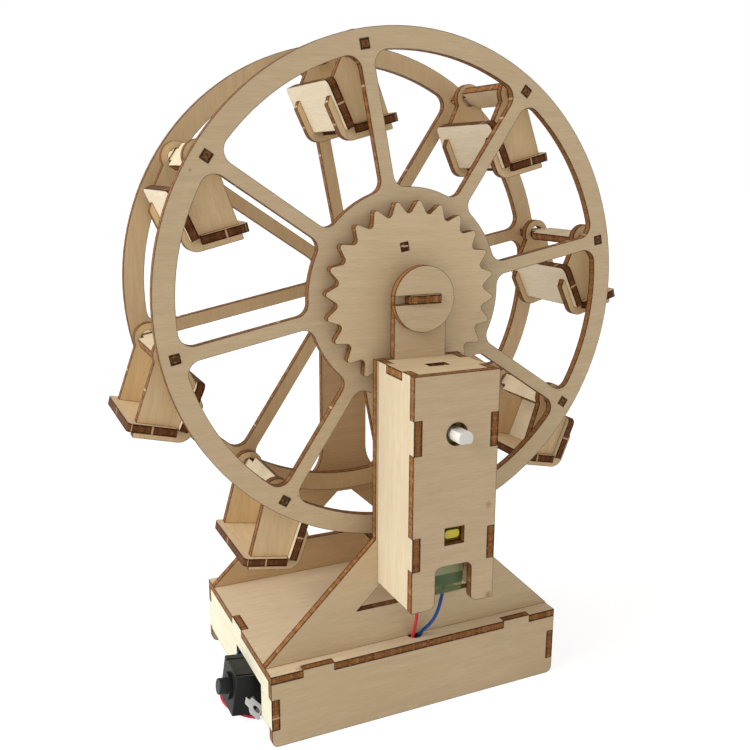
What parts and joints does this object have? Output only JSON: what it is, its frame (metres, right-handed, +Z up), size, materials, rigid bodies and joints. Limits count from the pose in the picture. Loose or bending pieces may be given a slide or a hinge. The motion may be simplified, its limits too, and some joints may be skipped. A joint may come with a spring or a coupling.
{
  "type": "motorised plywood ferris wheel kit",
  "caption": "Laser-cut plywood ferris wheel with hanging cabins, driven by a small geared motor in a tower on a low box with a push switch.",
  "frame": {"origin": "middle of the rectangle under the box, on the surface it stands on", "axes": "+X along the front of the box to its right end, +Y from the motor tower to the rear, +Z up"},
  "size_m": [0.2011, 0.1112, 0.2482],
  "materials": {
    "birch_ply": "satin",
    "gearbox_yellow": "satin",
    "white_plastic": "satin",
    "motor_metal": "satin",
    "motor_cap": "satin",
    "strap": "gloss",
    "screw_steel": "satin",
    "tab_metal": "satin",
    "switch_black": "satin",
    "button_black": "satin",
    "spring_steel": "satin",
    "holder_black": "satin",
    "cell_jacket": "gloss",
    "wire_red": "satin",
    "wire_blue": "satin"
  },
  "bodies": {
    "base": {"axle_bar": "birch_ply", "axle_retainers": "birch_ply", "base_back_panel": "birch_ply", "base_front_panel": "birch_ply", "base_left_panel": "birch_ply", "base_right_panel": "birch_ply", "base_top_panel": "birch_ply", "battery_cells": "cell_jacket", "battery_holder": "holder_black", "gearbox_front_shell": "gearbox_yellow", "gearbox_rear_shell": "gearbox_yellow", "gearbox_screws": "screw_steel", "metal_tabs": "tab_metal", "motor_can": "motor_metal", "motor_end_cap": "motor_cap", "motor_strap": "strap", "support_front": "birch_ply", "support_rear": "birch_ply", "switch_housing": "switch_black", "switch_spring": "spring_steel", "tower_front_panel": "birch_ply", "tower_left_panel": "birch_ply", "tower_right_panel": "birch_ply", "tower_top_panel": "birch_ply", "wheel_spacers": "birch_ply", "wire_blue": "wire_blue", "wire_red_motor": "wire_red", "wire_red_switch": "wire_red"},
    "wheel": {"wheel_front": "birch_ply", "wheel_rear": "birch_ply", "crossbars": "birch_ply", "drive_gear": "birch_ply", "gear_pegs": "birch_ply"},
    "motor_shaft": {"output_shaft": "white_plastic", "pinion": "white_plastic"},
    "button": {"switch_button": "button_black"},
    "cabin_1": {"cabin_1_sides": "birch_ply", "cabin_1_back": "birch_ply", "cabin_1_floor": "birch_ply"},
    "cabin_2": {"cabin_2_sides": "birch_ply", "cabin_2_back": "birch_ply", "cabin_2_floor": "birch_ply"},
    "cabin_3": {"cabin_3_sides": "birch_ply", "cabin_3_back": "birch_ply", "cabin_3_floor": "birch_ply"},
    "cabin_4": {"cabin_4_sides": "birch_ply", "cabin_4_back": "birch_ply", "cabin_4_floor": "birch_ply"},
    "cabin_5": {"cabin_5_sides": "birch_ply", "cabin_5_back": "birch_ply", "cabin_5_floor": "birch_ply"},
    "cabin_6": {"cabin_6_sides": "birch_ply", "cabin_6_back": "birch_ply", "cabin_6_floor": "birch_ply"},
    "cabin_7": {"cabin_7_sides": "birch_ply", "cabin_7_back": "birch_ply", "cabin_7_floor": "birch_ply"},
    "cabin_8": {"cabin_8_sides": "birch_ply", "cabin_8_back": "birch_ply", "cabin_8_floor": "birch_ply"}
  },
  "joints": [
    {"name": "wheel_spin", "type": "hinge", "parent": "base", "child": "wheel", "pos_m": [0, 0, 0.1572], "axis": [0, 1, 0], "continuous": true},
    {"name": "cabin_1_swing", "type": "hinge", "parent": "wheel", "child": "cabin_1", "pos_m": [-0.01678, 0.0019, 0.24155], "axis": [0, 1, 0], "continuous": true},
    {"name": "cabin_2_swing", "type": "hinge", "parent": "wheel", "child": "cabin_2", "pos_m": [0.04778, 0.0019, 0.22871], "axis": [0, 1, 0], "continuous": true},
    {"name": "cabin_3_swing", "type": "hinge", "parent": "wheel", "child": "cabin_3", "pos_m": [0.08435, 0.0019, 0.17398], "axis": [0, 1, 0], "continuous": true},
    {"name": "cabin_4_swing", "type": "hinge", "parent": "wheel", "child": "cabin_4", "pos_m": [0.07151, 0.0019, 0.10942], "axis": [0, 1, 0], "continuous": true},
    {"name": "cabin_5_swing", "type": "hinge", "parent": "wheel", "child": "cabin_5", "pos_m": [0.01678, 0.0019, 0.07285], "axis": [0, 1, 0], "continuous": true},
    {"name": "cabin_6_swing", "type": "hinge", "parent": "wheel", "child": "cabin_6", "pos_m": [-0.04778, 0.0019, 0.08569], "axis": [0, 1, 0], "continuous": true},
    {"name": "cabin_7_swing", "type": "hinge", "parent": "wheel", "child": "cabin_7", "pos_m": [-0.08435, 0.0019, 0.14042], "axis": [0, 1, 0], "continuous": true},
    {"name": "cabin_8_swing", "type": "hinge", "parent": "wheel", "child": "cabin_8", "pos_m": [-0.07151, 0.0019, 0.20498], "axis": [0, 1, 0], "continuous": true},
    {"name": "motor_shaft_spin", "type": "hinge", "parent": "base", "child": "motor_shaft", "pos_m": [0, -0.0508, 0.1152], "axis": [0, 1, 0], "continuous": true},
    {"name": "switch_press", "type": "slide", "parent": "base", "child": "button", "axis": [0.989, 0, -0.1478], "range_m": [0, 0.0015], "stiffness_N_per_m": 400}
  ],
  "couplings": [
    {"joint": "cabin_1_swing", "follows": "wheel_spin", "ratio": -1},
    {"joint": "cabin_2_swing", "follows": "wheel_spin", "ratio": -1},
    {"joint": "cabin_3_swing", "follows": "wheel_spin", "ratio": -1},
    {"joint": "cabin_4_swing", "follows": "wheel_spin", "ratio": -1},
    {"joint": "cabin_5_swing", "follows": "wheel_spin", "ratio": -1},
    {"joint": "cabin_6_swing", "follows": "wheel_spin", "ratio": -1},
    {"joint": "cabin_7_swing", "follows": "wheel_spin", "ratio": -1},
    {"joint": "cabin_8_swing", "follows": "wheel_spin", "ratio": -1},
    {"joint": "motor_shaft_spin", "follows": "wheel_spin", "ratio": -3}
  ]
}
